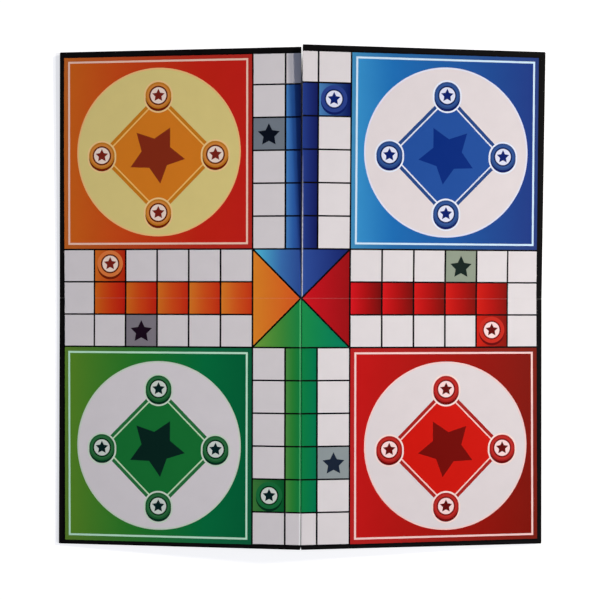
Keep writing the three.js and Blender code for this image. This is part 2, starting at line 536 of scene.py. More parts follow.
# How far the playing piece lies right of and above the middle of its start cell, in cells
START_SHIFTS: dict[Place, Spot] = {
    Place.UPPER_LEFT: (0.003, 0.058),
    Place.UPPER_RIGHT: (-0.03, 0.02),
    Place.LOWER_RIGHT: (0.003, 0.034),
    Place.LOWER_LEFT: (0.027, 0.002),
}


@dataclass(frozen=True)
class BoardPrint:
    """The print of the whole board. All sizes are in cells, from the crossing of the creases.

    Attributes:
        reach: half the grid.
        overrun: how far the ground and the black edges run on past the grid.
        line_end: where the lines that run out of the grid end.
        arm: half the width of the cross of cells.
        column: half the width of the upright way home, which loses a little in the cut.
        home_end: outer end of the ways home.
        line: width of the cell lines.
        home_line: width of the lines round the ways home.
        diagonal: width of the lines between the triangles.
        yard_middle: middle of a yard from the creases.
        edge_trim: part of the black edges that is cut off with the label's rim.
        frame_inset: yard edge to the frame line.
        frame_width: width of the frame line.
        haze: how much duller the yard is outside its frame line.
        field_radius: big circle.
        field_steps: corners of that circle.
        field_drop: big circle below the yard's middle.
        field_rim: width of the big circle's outline.
        figure_drop: discs and star below the yard's middle.
        disc_offset: discs from the middle of the four.
        disc_drop: the two discs at the sides below that middle.
        diamond_drop: diamond below the middle of the discs.
        diamond_reach: outside of the band round the diamond.
        diamond_line: outside of the line in the diamond.
        diamond_fill: outside of the diamond's middle.
        star_radius: big star.
        star_waist: notches of the big star, as a share of its radius.
        star_lean: direction of a tip of the big star on the left panels, in degrees.
        safe_star_radius: star on a safe cell.
        safe_star_waist: notches of that star, as a share of its radius.
        safe_star_drop: that star below the middle of its cell.
    """

    reach: float = 7.5
    overrun: float = 1.0
    line_end: float = 8.0
    arm: float = 1.5
    column: float = 0.485
    home_end: float = 6.5
    line: float = 0.05
    home_line: float = 0.056
    diagonal: float = 0.055
    yard_middle: float = 4.5
    edge_trim: float = 0.03
    frame_inset: float = 0.145
    frame_width: float = 0.06
    haze: float = 0.15
    field_radius: float = 2.59
    field_steps: int = 120
    field_drop: float = 0.03
    field_rim: float = 0.05
    figure_drop: float = 0.09
    disc_offset: float = 1.8
    disc_drop: float = 0.032
    diamond_drop: float = 0.024
    diamond_reach: float = 1.9
    diamond_line: float = 1.752
    diamond_fill: float = 1.69
    star_radius: float = 0.918
    star_waist: float = 0.523
    star_lean: float = 61.7
    safe_star_radius: float = 0.358
    safe_star_waist: float = 0.5
    safe_star_drop: float = 0.035

    def shapes(self) -> list[Shape]:
        """Draws the whole print.

        Returns:
            All inked shapes, from the bottom up.
        """
        edge = self.reach + self.overrun
        painted = [Shape(box_outline(-edge, -edge, edge, edge), Ink.plain(PAPER))]
        for place in Place:
            painted += self.yard(place)
        painted += self.homes()
        painted += self.marked_cells()
        painted += self.triangles()
        painted += self.cell_lines()
        painted += self.black_edges()
        for place, (u, v) in START_CELLS.items():
            spot = (u + START_SHIFTS[place][0], v + START_SHIFTS[place][1])
            painted += PrintedDisc(spot, TEAMS[place].disc.on_start(), has_halo=False).shapes()
        return painted

    def yard_outline(self, place: Place, inset: float) -> Outline:
        """Outline of a yard, which the black edges leave not quite square.

        Args:
            place: the panel that it lies on.
            inset: how far inside the yard's edge the outline runs.

        Returns:
            Its four corners.
        """
        side, end = place.side, place.end
        black = BLACK_EDGES[place].less(self.edge_trim)
        near, far = self.arm + inset, self.reach - inset
        return [
            (side * near, end * near),
            (side * (far - black.beside[0]), end * near),
            (side * (far - black.beside[1]), end * (far - black.beyond[1])),
            (side * near, end * (far - black.beyond[0])),
        ]

    def yard(self, place: Place) -> list[Shape]:
        """Shapes of one player's yard.

        Args:
            place: the panel that it lies on.

        Returns:
            Ground, frame line, circle, diamond, star and four discs.
        """
        inks = TEAMS[place]
        side, end = place.side, place.end
        left, right = sorted((side * self.arm, side * self.reach))
        shift = FIGURE_SHIFTS[place]
        middle = (side * self.yard_middle, end * self.yard_middle + shift.rise)
        circle = (middle[0] + shift.figures, middle[1] - self.field_drop)
        figure = (middle[0] + shift.figures, middle[1] - self.figure_drop)
        diamond = (figure[0], figure[1] - self.diamond_drop)
        star = (middle[0] + shift.star, middle[1] - self.figure_drop)
        lean = self.star_lean if side < 0 else 180 - self.star_lean
        inner = self.yard_outline(place, self.frame_inset + self.frame_width)
        painted = inks.yard.hazed(self.haze).painted(self.yard_outline(place, 0.0), left, right)
        painted.append(Shape(self.yard_outline(place, self.frame_inset), Ink.plain(inks.frame_line)))
        painted += inks.yard.painted(inner, left, right)
        layers = (
            (round_outline(circle, self.field_radius, self.field_steps), inks.field_rim),
            (round_outline(circle, self.field_radius - self.field_rim, self.field_steps), inks.field),
            (diamond_outline(diamond, self.diamond_reach), inks.band),
            (diamond_outline(diamond, self.diamond_line), inks.diamond_line),
            (diamond_outline(diamond, self.diamond_fill), inks.diamond),
            (star_outline(star, self.star_radius, self.star_waist, lean), inks.star),
        )
        painted += [Shape(outline, Ink.plain(tone)) for outline, tone in layers]
        for step_u, step_v in ((0, 1), (-1, 0), (1, 0), (0, -1)):
            spot = (
                figure[0] + step_u * self.disc_offset,
                figure[1] + step_v * self.disc_offset - abs(step_u) * self.disc_drop,
            )
            painted += PrintedDisc(spot, inks.disc, has_halo=True).shapes()
        return painted

    def homes(self) -> list[Shape]:
        """Draws the coloured cells of the four ways home.

        Returns:
            Shapes of two upright strips, and of five cells for each way across the board.
        """
        inner, outer = round(self.arm + 0.5), round(self.home_end - 0.5)
        painted = []
        for place in (Place.UPPER_RIGHT, Place.LOWER_LEFT):
            way = box_outline(-self.column, place.end * self.arm, self.column, place.end * self.home_end)
            painted += TEAMS[place].home.painted(way, -self.column, self.column)
        for place in (Place.UPPER_LEFT, Place.LOWER_RIGHT):
            inks = TEAMS[place]
            for number in range(inner, outer + 1):
                u = place.side * number
                inward = (outer - number) / (outer - inner)
                run = inks.home.towards(inks.home_inner or inks.home, inward)
                painted += run.painted(cell_outline(u, 0), u - 0.5, u + 0.5)
        return painted

    def marked_cells(self) -> list[Shape]:
        """Draws the cells that stand out from the white ones.

        Returns:
            Ground of the cells that pieces start on, and the safe cells with their stars.
        """
        painted = []
        for place, (u, v) in START_CELLS.items():
            painted += TEAMS[place].start_cell.painted(cell_outline(u, v), u - 0.5, u + 0.5)
        for place, (u, v) in SAFE_CELLS.items():
            inks = TEAMS[place]
            middle = (u, v - self.safe_star_drop)
            star = star_outline(middle, self.safe_star_radius, self.safe_star_waist)
            painted.append(Shape(cell_outline(u, v), Ink.plain(inks.safe_cell)))
            painted.append(Shape(star, Ink.plain(inks.safe_star)))
        return painted

    def triangles(self) -> list[Shape]:
        """Draws the centre.

        Returns:
            The four triangles that meet there, and the lines between them.
        """
        arm = self.arm
        corners = {
            Place.UPPER_LEFT: [(-arm, arm), (-arm, -arm), (0, 0)],
            Place.UPPER_RIGHT: [(arm, arm), (-arm, arm), (0, 0)],
            Place.LOWER_LEFT: [(-arm, -arm), (arm, -arm), (0, 0)],
            Place.LOWER_RIGHT: [(arm, -arm), (arm, arm), (0, 0)],
        }
        painted = []
        for place, outline in corners.items():
            spread = [u for u, _ in outline]
            painted += TEAMS[place].triangle.painted(outline, min(spread), max(spread))
        for place in Place:
            line = stroke_outline((0, 0), (place.side * arm, place.end * arm), self.diagonal)
            painted.append(Shape(line, Ink.plain(LINE_BLACK)))
        return painted

    def black_edges(self) -> list[Shape]:
        """Draws the black along the outer edges.

        Returns:
            Two strips for each panel.
        """
        far = self.reach + self.overrun
        painted = []
        for place, black in BLACK_EDGES.items():
            side, end = place.side, place.end
            us = [side * (self.reach - width) for width in black.beside]
            vs = [end * (self.reach - width) for width in black.beyond]
            for outline in (
                [(us[0], 0), (side * far, 0), (side * far, end * self.reach), (us[1], end * self.reach)],
                [(0, vs[0]), (0, end * far), (side * self.reach, end * far), (side * self.reach, vs[1])],
            ):
                painted.append(Shape(outline, Ink.plain(LINE_BLACK)))
        return painted

    def cell_lines(self) -> list[Shape]:
        """Draws the black lines between the cells and round the yards.

        Returns:
            One shape for each line.
        """
        strokes: list[tuple[Spot, Spot, float]] = []
        for side in (-1, 1):
            start, end = side * self.arm, side * self.line_end
            for number in range(round(self.reach - self.arm) + 1):
                across = self.arm + number
                width = self.home_line if across < self.home_end else self.line
                strokes.append(((-self.arm, side * across), (self.arm, side * across), self.line))
                strokes.append(((side * across, -self.arm), (side * across, self.arm), width))
            for other in (-1, 1):
                column, arm = other * self.column, other * self.arm
                strokes.append(((column, start), (column, end), self.home_line))
                strokes.append(((start, other * 0.5), (end, other * 0.5), self.line))
                strokes.append(((arm, start), (arm, end), self.line))
                strokes.append(((start, arm), (end, arm), self.line))
        return [Shape(stroke_outline(*stroke), Ink.plain(LINE_BLACK)) for stroke in strokes]


@dataclass(frozen=True)
class PrintedDisc:
    """Picture of a playing piece, seen a little from the front. Sizes are in cells.

    Attributes:
        spot: middle of the white top.
        inks: its tones.
        has_halo: whether a pale line goes round it.
        radius: body.
        steps: corners of each circle.
        edge: width of the darker edge of the body.
        rise: body above the white top.
        rim_drop: side of the piece that shows below the body.
        halo: width of the pale line.
        ring_radius: dark ring round the white top.
        top_radius: white top.
        star_radius: star on the top.
        star_waist: notches of that star, as a share of its radius.
    """

    spot: Spot
    inks: DiscInks
    has_halo: bool
    radius: float = 0.408
    steps: int = 48
    edge: float = 0.05
    rise: float = 0.0045
    rim_drop: float = 0.078
    halo: float = 0.052
    ring_radius: float = 0.296
    top_radius: float = 0.251
    star_radius: float = 0.206
    star_waist: float = 0.5

    def shapes(self) -> list[Shape]:
        """Draws the piece.

        Returns:
            Its shapes, from the bottom up.
        """
        u, v = self.spot
        body = (u, v + self.rise)
        rim = (u, body[1] - self.rim_drop)
        layers = [
            (body, self.radius + self.halo, self.inks.halo),
            (rim, self.radius + self.halo, self.inks.halo),
            (rim, self.radius, self.inks.rim),
            (body, self.radius, self.inks.edge),
            (body, self.radius - self.edge, self.inks.body),
            (self.spot, self.ring_radius, self.inks.ring),
            (self.spot, self.top_radius, self.inks.top),
        ]
        shown = layers if self.has_halo else layers[2:]
        painted = []
        for middle, reach, tone in shown:
            painted.append(Shape(round_outline(middle, reach, self.steps), Ink.plain(tone)))
        star = star_outline(self.spot, self.star_radius, self.star_waist)
        painted.append(Shape(star, Ink.plain(self.inks.star)))
        return painted


@dataclass(frozen=True)
class Window:
    """Part of the board that one sheet covers, in metres from the crossing of the creases."""

    left: float
    low: float
    right: float
    high: float

    def outline(self) -> Outline:
        """Its outline in cells."""
        left, right = self.left / CELL_WIDTH, self.right / CELL_WIDTH
        return box_outline(left, self.low / CELL_HEIGHT, right, self.high / CELL_HEIGHT)

    def meets(self, outline: Outline) -> bool:
        """Finds whether an outline comes near the window.

        Args:
            outline: corners in cells.

        Returns:
            True where the boxes of the two overlap.
        """
        (left, low), _, (right, high), _ = self.outline()
        us = [u for u, _ in outline]
        vs = [v for _, v in outline]
        return max(us) > left and min(us) < right and max(vs) > low and min(vs) < high


class Across(Enum):
    """The direction across a fold or from an edge: along the board's x or its y."""

    X = 0
    Y = 1


class WearAndSheen(Enum):
    """What an edge mark does to a print: rubbing bares the paper, or paler ink stands for a painted
    highlight on the lit flank of a crease, with some rubbing there too.
    """

    BARE = "bare"
    PALE = "pale"


@dataclass(frozen=True)
class WearAndSheenEdge:
    """Edge of a sheet where the print is rubbed, or made paler as a painted highlight.

    Attributes:
        across: direction from the edge into the sheet.
        at: place of the edge, in metres.
        width: how far the wear reaches.
        strength: strength of the wear or painted highlight at the edge itself, 0 to 1.
        until: distance along the edge, from the centre, where the wear or painted highlight ends.
        rub: what the mark does: rubbed bare, or paler ink as a painted highlight with some wear.
        fade_across: share of the width over which it fades.
        fade_along: share of that distance over which it fades.
    """

    across: Across
    at: float
    width: float
    strength: float
    until: float = 1.0
    rub: WearAndSheen = WearAndSheen.BARE
    fade_across: float = 0.5
    fade_along: float = 0.25

    def wear_at(self, x: float, y: float) -> float:
        """Finds how strongly the wear or painted highlight marks a spot of the sheet.

        Args:
            x: its place across the board, in metres.
            y: its place along the board.

        Returns:
            The strength of the mark, 0 to 1.
        """
        from_edge, along = (x - self.at, y) if self.across is Across.X else (y - self.at, x)
        near = min(1.0, max(0.0, (1 - abs(from_edge) / self.width) / self.fade_across))
        fade = min(1.0, max(0.0, (1 - abs(along) / self.until) / self.fade_along))
        return self.strength * near * fade

    def guides(self) -> list[float]:
        """Lines inside the sheet where the wear starts to fade and where it ends."""
        shares = (1 - self.fade_across, 1.0)
        return [self.at + math.copysign(share * self.width, self.at) for share in shares]


@dataclass(frozen=True)
class CutPrint:
    """A piece of the print cut into triangles.

    Attributes:
        spots: corners, in metres from the crossing of the creases.
        triangles: three corners each, anticlockwise.
        inks: ink of each triangle.
    """

    spots: list[Spot]
    triangles: list[tuple[int, int, int]]
    inks: list[Ink]


def anticlockwise(outline: Outline) -> Outline:
    """The same outline, run anticlockwise."""
    area = sum(a[0] * b[1] - b[0] * a[1] for a, b in zip(outline, outline[1:] + outline[:1]))
    return outline if area > 0 else outline[::-1]


def cut_print(window: Window, shapes: Sequence[Shape], guides: Sequence[Outline]) -> CutPrint:
    """Cuts the part of the print that a window shows into triangles of one ink each.

    Args:
        window: part of the board.
        shapes: inked shapes, from the bottom up.
        guides: extra lines, in cells, that triangles must not cross.

    Returns:
        The triangles, each with the ink that lies on top there.
    """
    shown = [shape for shape in shapes if window.meets(shape.outline)]
    corners: list[Vector] = []
    faces: list[list[int]] = []
    for outline in (window.outline(), *(shape.outline for shape in shown)):
        first = len(corners)
        corners.extend(Vector(spot) for spot in anticlockwise(list(outline)))
        faces.append(list(range(first, len(corners))))
    edges = []
    for guide in guides:
        edges.append((len(corners), len(corners) + 1))
        corners.extend(Vector(spot) for spot in guide)
    spots, _, cells, _, _, owners = delaunay_2d_cdt(
        corners, edges, faces, CUT_INSIDE, CUT_TOLERANCE, True,
    )
    kept = [index for index, owner in enumerate(owners) if 0 in owner]
    used = sorted({corner for index in kept for corner in cells[index]})
    renumbered = {corner: number for number, corner in enumerate(used)}
    return CutPrint(
        spots=[(spots[corner][0] * CELL_WIDTH, spots[corner][1] * CELL_HEIGHT) for corner in used],
        triangles=[tuple(renumbered[corner] for corner in cells[index]) for index in kept],
        inks=[shown[max(owners[index]) - 1].ink for index in kept],
    )


Placing = Callable[[float, float, bool], Vector]


@dataclass(frozen=True)
class PaperSheet:
    """Thin printed sheet with a front, a back and edges.

    Attributes:
        name: name of the piece.
        window: part of the board that it covers.
        worn: edges where the print is rubbed off, or made paler as a painted highlight.
        bends: places across a fold where the sheet has to bend, in metres.
        bend_across: direction of those places.
    """

    name: str
    window: Window
    worn: Sequence[WearAndSheenEdge] = ()
    bends: Sequence[float] = ()
    bend_across: Across = Across.Y

    def guides(self) -> list[Outline]:
        """Finds the lines that the cut print has to follow.

        Returns:
            Lines, in cells, where the sheet bends or its wear ends.
        """
        low_u, high_u = self.window.left / CELL_WIDTH, self.window.right / CELL_WIDTH
        low_v, high_v = self.window.low / CELL_HEIGHT, self.window.high / CELL_HEIGHT
        places = [(edge.across, guide) for edge in self.worn for guide in edge.guides()]
        places += [(self.bend_across, bend) for bend in self.bends]
        lines = []
        for across, place in places:
            if across is Across.X and self.window.left < place < self.window.right:
                lines.append([(place / CELL_WIDTH, low_v), (place / CELL_WIDTH, high_v)])
            elif across is Across.Y and self.window.low < place < self.window.high:
                lines.append([(low_u, place / CELL_HEIGHT), (high_u, place / CELL_HEIGHT)])
        return lines

    def build(self, shapes: Sequence[Shape], placing: Placing) -> bpy.types.Object:
        """Makes the sheet.

        Args:
            shapes: the print, from the bottom up.
            placing: gives the place of a spot of the sheet, on its front or its back.

        Returns:
            The sheet, with its inks, its wear and painted highlight, and its flat places as attributes.
        """
        cut = cut_print(self.window, shapes, self.guides())
        count = len(cut.spots)
        points = [placing(x, y, front) for front in (True, False) for x, y in cut.spots]
        backs = [(c + count, b + count, a + count) for a, b, c in cut.triangles]
        sides = [(b, a, a + count, b + count) for a, b in self.open_edges(cut.triangles)]
        mesh = bpy.data.meshes.new(self.name)
        mesh.from_pydata(points, [], [*cut.triangles, *backs, *sides])
        self.store_inks(mesh, cut)
        self.store_places(mesh, cut.spots * 2)
        piece = bpy.data.objects.new(self.name, mesh)
        bpy.context.scene.collection.objects.link(piece)
        return piece

    @staticmethod
    def open_edges(triangles: Sequence[tuple[int, int, int]]) -> list[tuple[int, int]]:
        """Edges that only one triangle has, each in that triangle's direction."""
        directed = {(t[i], t[(i + 1) % 3]) for t in triangles for i in range(3)}
        return sorted((a, b) for a, b in directed if (b, a) not in directed)

    @staticmethod
    def store_inks(mesh: bpy.types.Mesh, cut: CutPrint) -> None:
        """Gives each corner of each face its printed tone, and bare paper off the front.

        Args:
            mesh: mesh of the sheet, with the faces of its front first.
            cut: the print on its front.
        """
        bare = Ink.plain(PAPER).tone_at(0)
        tones: list[float] = []
        for face in mesh.polygons:
            ink = cut.inks[face.index] if face.index < len(cut.inks) else None
            for corner in face.vertices:
                tones.extend(bare if ink is None else ink.tone_at(cut.spots[corner][0] / CELL_WIDTH))
        mesh.attributes.new("ink", "FLOAT_VECTOR", "CORNER").data.foreach_set("vector", tones)

    def store_places(self, mesh: bpy.types.Mesh, spots: Sequence[Spot]) -> None:
        """Gives each point its place on the flat sheet, its wear and its painted highlight.

        Args:
            mesh: mesh of the sheet.
            spots: place of each point on the flat sheet.
        """
        places = [value for x, y in spots for value in (x, y, 0.0)]
        mesh.attributes.new("place", "FLOAT_VECTOR", "POINT").data.foreach_set("vector", places)
        for rub in WearAndSheen:
            edges = [edge for edge in self.worn if edge.rub is rub]
            wear = [max((edge.wear_at(x, y) for edge in edges), default=0.0) for x, y in spots]
            mesh.attributes.new(rub.value, "FLOAT", "POINT").data.foreach_set("value", wear)


class NodeBench:
    """Adds nodes to one node tree and wires them."""

    def __init__(self, tree: bpy.types.NodeTree) -> None:
        """Starts with an empty tree."""
        self.tree = tree
        tree.nodes.clear()

    def add(
        self, kind: str, inputs: dict[str | int, Any] | None = None, **settings: Any,
    ) -> bpy.types.Node:
        """Adds a node.

        Args:
            kind: its type.
            inputs: what each input takes, by name or number: a value, or an output to link.
            settings: its own properties.

        Returns:
            The node.
        """
        node = self.tree.nodes.new(kind)
        for name, value in settings.items():
            setattr(node, name, value)
        for key, value in (inputs or {}).items():
            if isinstance(value, bpy.types.NodeSocket):
                self.tree.links.new(value, node.inputs[key])
            else:
                node.inputs[key].default_value = value
        return node

    def math(self, operation: str, first: Any, second: Any = 0.0) -> bpy.types.NodeSocket:
        """Output of a sum of two values, each a number or an output."""
        return self.add("ShaderNodeMath", {0: first, 1: second}, operation=operation).outputs[0]

    def spread(self, value: Any, span: Span, new_span: Span = (0.0, 1.0)) -> bpy.types.NodeSocket:
        """Output of a value moved from one range to another, and kept inside it."""
        ends = {1: span[0], 2: span[1], 3: new_span[0], 4: new_span[1]}
        return self.add("ShaderNodeMapRange", {0: value, **ends}).outputs[0]

    def mix(self, share: Any, first: Any, second: Any, blend: str = "MIX") -> bpy.types.NodeSocket:
        """Mixes two colours.

        Args:
            share: how much of the second goes in: a number or an output.
            first: first colour or output.
            second: second colour or output.
            blend: how they mix.

        Returns:
            The output with the mixed colour.
        """
        node = self.add("ShaderNodeMix", {"Factor": share}, data_type="RGBA", blend_type=blend)
        for key, value in (("A_Color", first), ("B_Color", second)):
            socket = next(s for s in node.inputs if s.identifier == key)
            if isinstance(value, bpy.types.NodeSocket):
                self.tree.links.new(value, socket)
            else:
                socket.default_value = value
        return next(s for s in node.outputs if s.identifier == "Result_Color")

    def attribute(self, name: str) -> bpy.types.Node:
        """Node that reads an attribute of the piece."""
        return self.add("ShaderNodeAttribute", attribute_name=name)


SOCKET_KINDS = {float: "NodeSocketFloat", tuple: "NodeSocketColor", Vector: "NodeSocketVector"}


def new_group(
    name: str, inputs: dict[str, type], outputs: dict[str, type],
) -> tuple[NodeBench, Any, Any]:
    """Starts a shader node group.

    Args:
        name: its name.
        inputs: kind of each input.
        outputs: kind of each output.

    Returns:
        The bench to build it on, its input node's outputs and its output node's inputs.
    """
    tree = bpy.data.node_groups.new(name, "ShaderNodeTree")
    bench = NodeBench(tree)
    for sockets, direction in ((inputs, "INPUT"), (outputs, "OUTPUT")):
        for label, kind in sockets.items():
            tree.interface.new_socket(label, in_out=direction, socket_type=SOCKET_KINDS[kind])
    start = bench.add("NodeGroupInput")
    end = bench.add("NodeGroupOutput")
    return bench, start.outputs, end.inputs


class SharedEffects:
    """Node groups that more than one finish uses.

    Attributes:
        tooth: tooth of paper or card.
        rub: rubbed edges.
    """

    BREAKUP_NOISE: Span = (0.35, 0.65)
    BREAKUP_WEAR: Span = (0.55, 1.0)

    def __init__(self) -> None:
        """Builds each group once."""
        self.tooth = self.build_tooth()
        self.rub = self.build_rub()

    @staticmethod
    def build_tooth() -> bpy.types.NodeTree:
        """Builds paper tooth: fine fibres as height, and broad unevenness.

        Returns:
            The node group.
        """
        bench, start, end = new_group(
            "paper_tooth",
            {"Place": Vector, "Fibre Scale": float, "Mottle Scale": float},
            {"Height": float, "Mottle": float},
        )
        fibres = bench.add(
            "ShaderNodeTexNoise",
            {"Vector": start["Place"], "Scale": start["Fibre Scale"], "Detail": 4.0, "Roughness": 0.62},
        )
        mottle = bench.add(
            "ShaderNodeTexNoise",
            {"Vector": start["Place"], "Scale": start["Mottle Scale"], "Detail": 3.0, "Roughness": 0.55},
        )
        bench.tree.links.new(fibres.outputs[0], end["Height"])
        bench.tree.links.new(mottle.outputs[0], end["Mottle"])
        return bench.tree

    @classmethod
    def build_rub(cls) -> bpy.types.NodeTree:
        """Builds rubbed edges: wear broken up by noise, which bares what lies under the colour.

        Returns:
            The node group.
        """
        bench, start, end = new_group(
            "rubbed_edges",
            {
                "Color": tuple, "Bare Color": tuple, "Wear": float, "Place": Vector,
                "Breakup Scale": float,
            },
            {"Color": tuple, "Mask": float},
        )
        noise = bench.add(
            "ShaderNodeTexNoise",
            {"Vector": start["Place"], "Scale": start["Breakup Scale"], "Detail": 3.0},
        )
        broken = bench.spread(noise.outputs[0], cls.BREAKUP_NOISE, cls.BREAKUP_WEAR)
        mask = bench.math("MULTIPLY", start["Wear"], broken)
        bench.tree.links.new(mask, end["Mask"])
        bench.tree.links.new(bench.mix(mask, start["Color"], start["Bare Color"]), end["Color"])
        return bench.tree


def new_material(name: str) -> tuple[bpy.types.Material, NodeBench]:
    """Starts a material with an empty node tree.

    Args:
        name: its name.

    Returns:
        The material and the bench to build it on.
    """
    material = bpy.data.materials.new(name)
    material.use_nodes = True
    return material, NodeBench(material.node_tree)


# Power that takes the stored ink tones to linear colour
INK_GAMMA = 2.2

# Ranges of the mottle noise that the finishes spread over their roughness and over their tones
MOTTLE_SPAN: Span = (0.25, 0.75)
TONE_SPAN: Span = (0.3, 0.7)


def linear(tone: Srgb) -> tuple[float, float, float, float]:
    """Linear colour of an sRGB tone, with full cover."""
    channels = [c / 255 for c in tone]
    return (*(c / 12.92 if c <= 0.04045 else ((c + 0.055) / 1.055) ** 2.4 for c in channels), 1.0)


@dataclass(frozen=True)
class PrintFinish:
    """Offset print on coated paper.

    Attributes:
        fibre_scale: fibres to the metre.
        mottle_scale: patches to the metre.
        breakup_scale: worn specks to the metre.
        unevenness: least and most strength of the ink.
        roughness: least and most roughness.
        bare_roughness: roughness that bare paper adds.
        specular: strength of its gloss.
        bare: paper under the ink.
        paling_and_sheen: gain, lift and limit of the paler ink, which paints a highlight on a lit crease
            flank along with some rubbing.
        relief: height of the tooth in metres.
        relief_share: how much of the tooth shows.
    """

    fibre_scale: float = 2600.0
    mottle_scale: float = 70.0
    breakup_scale: float = 420.0
    unevenness: Span = (0.982, 1.018)
    roughness: Span = (0.42, 0.54)
    bare_roughness: float = 0.2
    specular: float = 0.05
    bare: Srgb = (240, 238, 238)
    paling_and_sheen: tuple[float, float, float] = (1.5, 0.06, 0.88)
    relief: float = 0.00004
    relief_share: float = 0.25

    def material(self, effects: SharedEffects) -> bpy.types.Material:
        """Builds the finish.

        Args:
            effects: shared node groups.

        Returns:
            The material.
        """
        material, bench = new_material("printed_paper")
        tone = bench.attribute("ink").outputs["Vector"]
        ink = bench.add("ShaderNodeGamma", {"Color": tone, "Gamma": INK_GAMMA})
        place = bench.attribute("place").outputs["Vector"]
        tooth = bench.add("ShaderNodeGroup", {
            "Place": place, "Fibre Scale": self.fibre_scale, "Mottle Scale": self.mottle_scale,
        }, node_tree=effects.tooth)
        strength = bench.spread(tooth.outputs["Mottle"], MOTTLE_SPAN, self.unevenness)
        even = bench.mix(1.0, ink.outputs[0], strength, "MULTIPLY")
        # Paler ink where the pale attribute is set: a painted highlight of the lit flank of the lower
        # crease, with some rubbing.
        gain, lift, most = ((value, value, value) for value in self.paling_and_sheen)
        lifted = bench.add("ShaderNodeVectorMath", {0: even, 1: gain, 2: lift}, operation="MULTIPLY_ADD")
        pale = bench.add("ShaderNodeVectorMath", {0: lifted.outputs[0], 1: most}, operation="MINIMUM")
        colour = bench.mix(bench.attribute(WearAndSheen.PALE.value).outputs["Fac"], even, pale.outputs[0])
        rub = bench.add("ShaderNodeGroup", {
            "Color": colour, "Bare Color": linear(self.bare), "Place": place,
            "Wear": bench.attribute(WearAndSheen.BARE.value).outputs["Fac"], "Breakup Scale": self.breakup_scale,
        }, node_tree=effects.rub)
        smooth = bench.spread(tooth.outputs["Mottle"], MOTTLE_SPAN, self.roughness)
        added = bench.math("MULTIPLY", rub.outputs["Mask"], self.bare_roughness)
        rough = bench.math("ADD", smooth, added)
        bump = bench.add("ShaderNodeBump", {
            "Strength": self.relief_share, "Distance": self.relief, "Height": tooth.outputs["Height"],
        })
        shader = bench.add("ShaderNodeBsdfPrincipled", {
            "Base Color": rub.outputs["Color"], "Roughness": rough, "Specular IOR Level": self.specular,
            "Normal": bump.outputs[0],
        })
        bench.add("ShaderNodeOutputMaterial", {"Surface": shader.outputs[0]})
        return material


@dataclass(frozen=True)
class BlackPaperFinish:
    """Matt black covering paper, rubbed a little along its folded edges.

    Attributes:
        fibre_scale: fibres to the metre.
        mottle_scale: patches to the metre.
        breakup_scale: worn specks to the metre.
        dark: darkest tone.
        light: lightest tone.
        bare: tone of the rubbed edges.
        edge_wear: how bare the folded edges are, 0 to 1.
        roughness: least and most roughness.
        specular: strength of its gloss.
        relief: height of the tooth in metres.
        relief_share: how much of the tooth shows.
    """

    fibre_scale: float = 1900.0
    mottle_scale: float = 55.0
    breakup_scale: float = 260.0
    dark: Srgb = (7, 6, 7)
    light: Srgb = (13, 12, 13)
    bare: Srgb = (118, 115, 112)
    edge_wear: float = 0.35
    roughness: Span = (0.58, 0.72)
    specular: float = 0.04
    relief: float = 0.00005
    relief_share: float = 0.35

    def material(self, effects: SharedEffects) -> bpy.types.Material:
        """Builds the finish.

        Args:
            effects: shared node groups.

        Returns:
            The material.
        """
        material, bench = new_material("black_paper")
        coordinates = bench.add("ShaderNodeTexCoord").outputs
        place = coordinates["Object"]
        tooth = bench.add("ShaderNodeGroup", {
            "Place": place, "Fibre Scale": self.fibre_scale, "Mottle Scale": self.mottle_scale,
        }, node_tree=effects.tooth)
        share = bench.spread(tooth.outputs["Mottle"], TONE_SPAN)
        colour = bench.mix(share, linear(self.dark), linear(self.light))
        facing = bench.add("ShaderNodeSeparateXYZ", {0: coordinates["Normal"]}).outputs[2]
        upright = bench.math("ABSOLUTE", facing)
        # 0 on flat and on upright faces, and a quarter at most, where a folded edge leans halfway
        rounded = bench.math("MULTIPLY", upright, bench.math("SUBTRACT", 1.0, upright))
        wear = bench.math("MULTIPLY", rounded, 4 * self.edge_wear)
        rub = bench.add("ShaderNodeGroup", {
            "Color": colour, "Bare Color": linear(self.bare), "Place": place, "Wear": wear,
            "Breakup Scale": self.breakup_scale,
        }, node_tree=effects.rub)
        bump = bench.add("ShaderNodeBump", {
            "Strength": self.relief_share, "Distance": self.relief, "Height": tooth.outputs["Height"],
        })
        shader = bench.add("ShaderNodeBsdfPrincipled", {
            "Base Color": rub.outputs["Color"], "Specular IOR Level": self.specular,
            "Roughness": bench.spread(tooth.outputs["Mottle"], MOTTLE_SPAN, self.roughness),
            "Normal": bump.outputs[0],
        })
        bench.add("ShaderNodeOutputMaterial", {"Surface": shader.outputs[0]})
        return material


